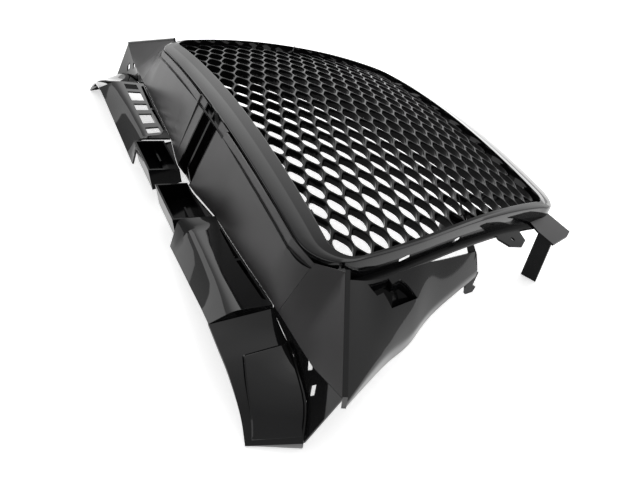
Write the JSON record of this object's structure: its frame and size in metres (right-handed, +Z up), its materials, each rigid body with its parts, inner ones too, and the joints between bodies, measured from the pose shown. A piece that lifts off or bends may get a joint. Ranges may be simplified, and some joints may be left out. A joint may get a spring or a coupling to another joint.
{
  "type": "front grille",
  "caption": "Gloss black car front grille: crowned honeycomb in a rounded frame, with a bonnet side cover, corner feet, flared side wings and lower screw brackets.",
  "frame": {"origin": "on the floor under the middle of the grille, which lies on its back on its two feet and two legs", "axes": "+X across the car, +Y from the bonnet edge to the bumper edge, +Z up, out of the front face"},
  "size_m": [0.833, 0.6102, 0.1718],
  "materials": {
    "gloss_black": "high gloss black moulding",
    "mesh_black": "gloss black honeycomb",
    "moulded_black": "gloss black moulding, less polished",
    "clip_black": "satin black"
  },
  "bodies": {
    "root": {"clip_boss": "clip_black", "corner_foot_left": "gloss_black", "corner_foot_right": "gloss_black", "corner_panel_left": "gloss_black", "corner_panel_right": "gloss_black", "corner_rib_left": "gloss_black", "corner_rib_right": "gloss_black", "cover_root": "moulded_black", "cover_wall_left": "gloss_black", "cover_wall_right": "gloss_black", "foot_pad_left": "gloss_black", "foot_pad_right": "gloss_black", "insert_clips": "clip_black", "latch_channel": "moulded_black", "latch_rib": "moulded_black", "latch_tray_left": "moulded_black", "latch_tray_right": "moulded_black", "lower_bracket_left": "moulded_black", "lower_bracket_right": "moulded_black", "lower_skirt": "moulded_black", "mesh_insert": "mesh_black", "outer_strip_left": "gloss_black", "outer_strip_right": "gloss_black", "side_rail_left": "moulded_black", "side_rail_right": "moulded_black", "side_skirt_left": "moulded_black", "side_skirt_right": "moulded_black", "side_wing_left": "gloss_black", "side_wing_right": "gloss_black", "slot_ladder_left": "gloss_black", "slot_panel_right": "gloss_black", "surround_frame": "gloss_black", "wing_hook_left": "moulded_black", "wing_hook_right": "moulded_black", "wing_pan_left": "moulded_black", "wing_pan_right": "moulded_black"}
  },
  "joints": []
}
